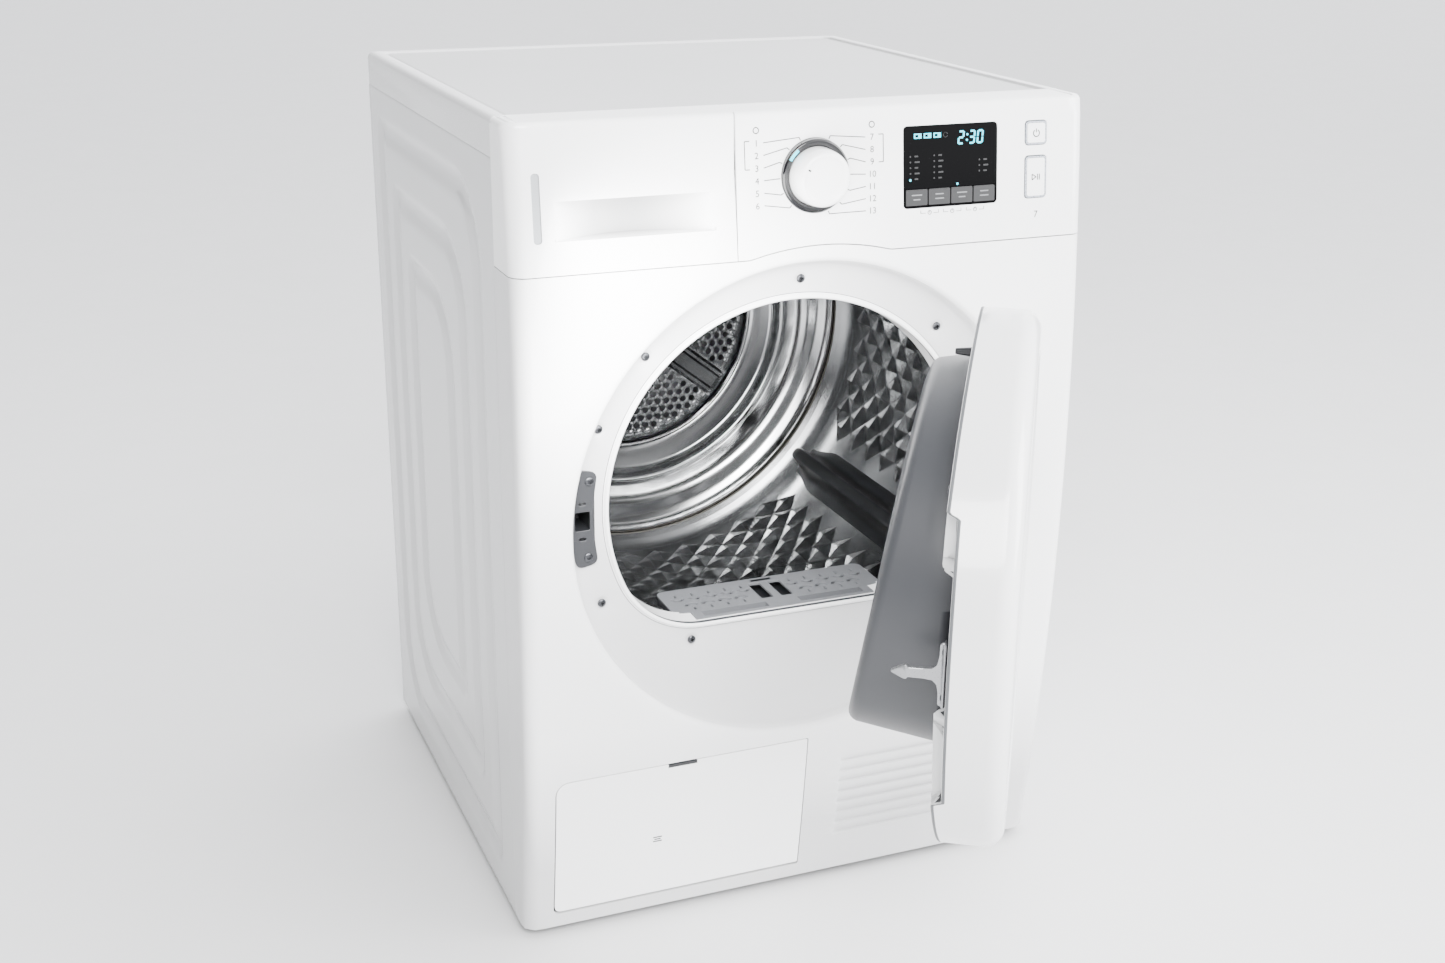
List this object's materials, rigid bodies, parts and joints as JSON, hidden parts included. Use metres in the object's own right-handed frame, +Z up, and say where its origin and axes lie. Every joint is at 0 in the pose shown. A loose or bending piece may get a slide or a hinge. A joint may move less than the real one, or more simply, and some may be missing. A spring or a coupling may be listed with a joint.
{
  "type": "clothes dryer",
  "caption": "Front-loading condenser tumble dryer with a round side-hinged door, rotating steel drum, control fascia, water tank drawer and filter flap.",
  "frame": {"origin": "on the floor under the middle of the cabinet's footprint", "axes": "+X to the right seen from the front, the front faces -Y, +Z up"},
  "size_m": [0.6, 1.0571, 0.85],
  "materials": {
    "white_steel": "gloss enamel",
    "white_plastic": "gloss moulding",
    "white_matte_plastic": "fine texture",
    "grey_plastic": "satin",
    "dark_plastic": "satin",
    "light_grey_plastic": "satin",
    "black_glass": "gloss",
    "key_plastic": "satin",
    "ring_black": "gloss",
    "window_clear": "smoky clear",
    "drum_steel": "polished",
    "galvanised": "galvanised",
    "bright_steel": "zinc plated",
    "seal_rubber": "matte",
    "belt_rubber": "matte",
    "felt": "felt",
    "fin_aluminium": "satin",
    "motor_steel": "painted",
    "board_green": "circuit board",
    "tank_plastic": "natural"
  },
  "bodies": {
    "cabinet": {"side_panel_left": "white_steel", "side_panel_right": "white_steel", "worktop_frame": "white_plastic", "worktop_panel": "white_matte_plastic", "rear_panel": "galvanised", "rear_duct_cover": "galvanised", "front_panel": "white_steel", "control_fascia": "white_plastic", "display_window": "black_glass", "knob_ring": "ring_black", "control_board": "board_green", "door_lock": "grey_plastic", "cabinet_screws": "bright_steel", "drum_front_support": "white_plastic", "door_seal": "seal_rubber", "drum_felts": "felt", "rear_bulkhead": "drum_steel", "rear_air_disc": "drum_steel", "roller_axles": "bright_steel", "drive_belt": "belt_rubber", "drive_motor": "motor_steel", "fan_housing": "dark_plastic", "heat_exchanger": "fin_aluminium", "heater": "galvanised", "drain_pump": "dark_plastic", "base_tray": "dark_plastic", "levelling_feet": "dark_plastic", "tank_shelf": "dark_plastic", "mains_inlet": "dark_plastic", "drain_spigot": "dark_plastic", "hinge_bracket": "bright_steel"},
    "drum": {"drum_shell": "drum_steel", "lifter_1": "dark_plastic", "lifter_2": "dark_plastic", "lifter_3": "dark_plastic"},
    "door": {"door_ring": "white_plastic", "door_outer_panel": "white_plastic", "door_liner": "grey_plastic", "latch_hook": "bright_steel", "door_hinge_arm": "galvanised", "hinge_pin": "bright_steel", "door_buffer": "dark_plastic", "door_screws": "bright_steel"},
    "tank_drawer": {"drawer_front": "white_plastic", "level_window": "window_clear", "water_tank": "tank_plastic"},
    "filter_flap": {"filter_cover": "white_plastic", "cover_latch": "dark_plastic"},
    "lint_cassette": {"lint_filter": "light_grey_plastic", "lint_ledge": "light_grey_plastic"},
    "knob": {"program_knob": "white_plastic"},
    "power_key": {"power_button": "white_plastic"},
    "start_key": {"start_button": "white_plastic"},
    "option_1": {"option_key_1": "key_plastic"},
    "option_2": {"option_key_2": "key_plastic"},
    "option_3": {"option_key_3": "key_plastic"},
    "option_4": {"option_key_4": "key_plastic"},
    "roller_left": {"drum_roller_left": "belt_rubber"},
    "roller_right": {"drum_roller_right": "belt_rubber"},
    "rotor": {"motor_rotor": "bright_steel"}
  },
  "joints": [
    {"name": "door_hinge", "type": "hinge", "parent": "cabinet", "child": "door", "pos_m": [0.218, -0.353, 0.456], "axis": [0, 0, 1], "range_deg": [-57, 93]},
    {"name": "drum_spin", "type": "hinge", "parent": "cabinet", "child": "drum", "pos_m": [0, 0, 0.512], "axis": [0, 1, 0], "continuous": true},
    {"name": "roller_left_spin", "type": "hinge", "parent": "cabinet", "child": "roller_left", "pos_m": [-0.18251, 0.206, 0.25135], "axis": [0, 1, 0], "continuous": true},
    {"name": "roller_right_spin", "type": "hinge", "parent": "cabinet", "child": "roller_right", "pos_m": [0.18251, 0.206, 0.25135], "axis": [0, 1, 0], "continuous": true},
    {"name": "motor_spin", "type": "hinge", "parent": "cabinet", "child": "rotor", "pos_m": [0.15, 0.05, 0.112], "axis": [0, 1, 0], "continuous": true},
    {"name": "tank_slide", "type": "slide", "parent": "cabinet", "child": "tank_drawer", "axis": [0, -1, 0], "range_m": [0, 0.38]},
    {"name": "flap_hinge", "type": "hinge", "parent": "cabinet", "child": "filter_flap", "pos_m": [-0.13, -0.2745, 0.032], "axis": [1, 0, 0], "range_deg": [0, 90]},
    {"name": "filter_lift", "type": "slide", "parent": "cabinet", "child": "lint_cassette", "axis": [0, 0, 1], "range_m": [0, 0.12]},
    {"name": "knob_turn", "type": "hinge", "parent": "cabinet", "child": "knob", "pos_m": [0.001, -0.3, 0.7876], "axis": [0, -1, 0], "continuous": true},
    {"name": "power_press", "type": "slide", "parent": "cabinet", "child": "power_key", "axis": [0, 1, 0], "range_m": [0, 0.0012], "stiffness_N_per_m": 400},
    {"name": "start_press", "type": "slide", "parent": "cabinet", "child": "start_key", "axis": [0, 1, 0], "range_m": [0, 0.0012], "stiffness_N_per_m": 400},
    {"name": "option_1_press", "type": "slide", "parent": "cabinet", "child": "option_1", "axis": [0, 1, 0], "range_m": [0, 0.001], "stiffness_N_per_m": 400},
    {"name": "option_2_press", "type": "slide", "parent": "cabinet", "child": "option_2", "axis": [0, 1, 0], "range_m": [0, 0.001], "stiffness_N_per_m": 400},
    {"name": "option_3_press", "type": "slide", "parent": "cabinet", "child": "option_3", "axis": [0, 1, 0], "range_m": [0, 0.001], "stiffness_N_per_m": 400},
    {"name": "option_4_press", "type": "slide", "parent": "cabinet", "child": "option_4", "axis": [0, 1, 0], "range_m": [0, 0.001], "stiffness_N_per_m": 400}
  ],
  "couplings": [
    {"joint": "roller_left_spin", "follows": "drum_spin", "ratio": -8.0857},
    {"joint": "roller_right_spin", "follows": "drum_spin", "ratio": -8.0857},
    {"joint": "motor_spin", "follows": "drum_spin", "ratio": 25.727}
  ]
}
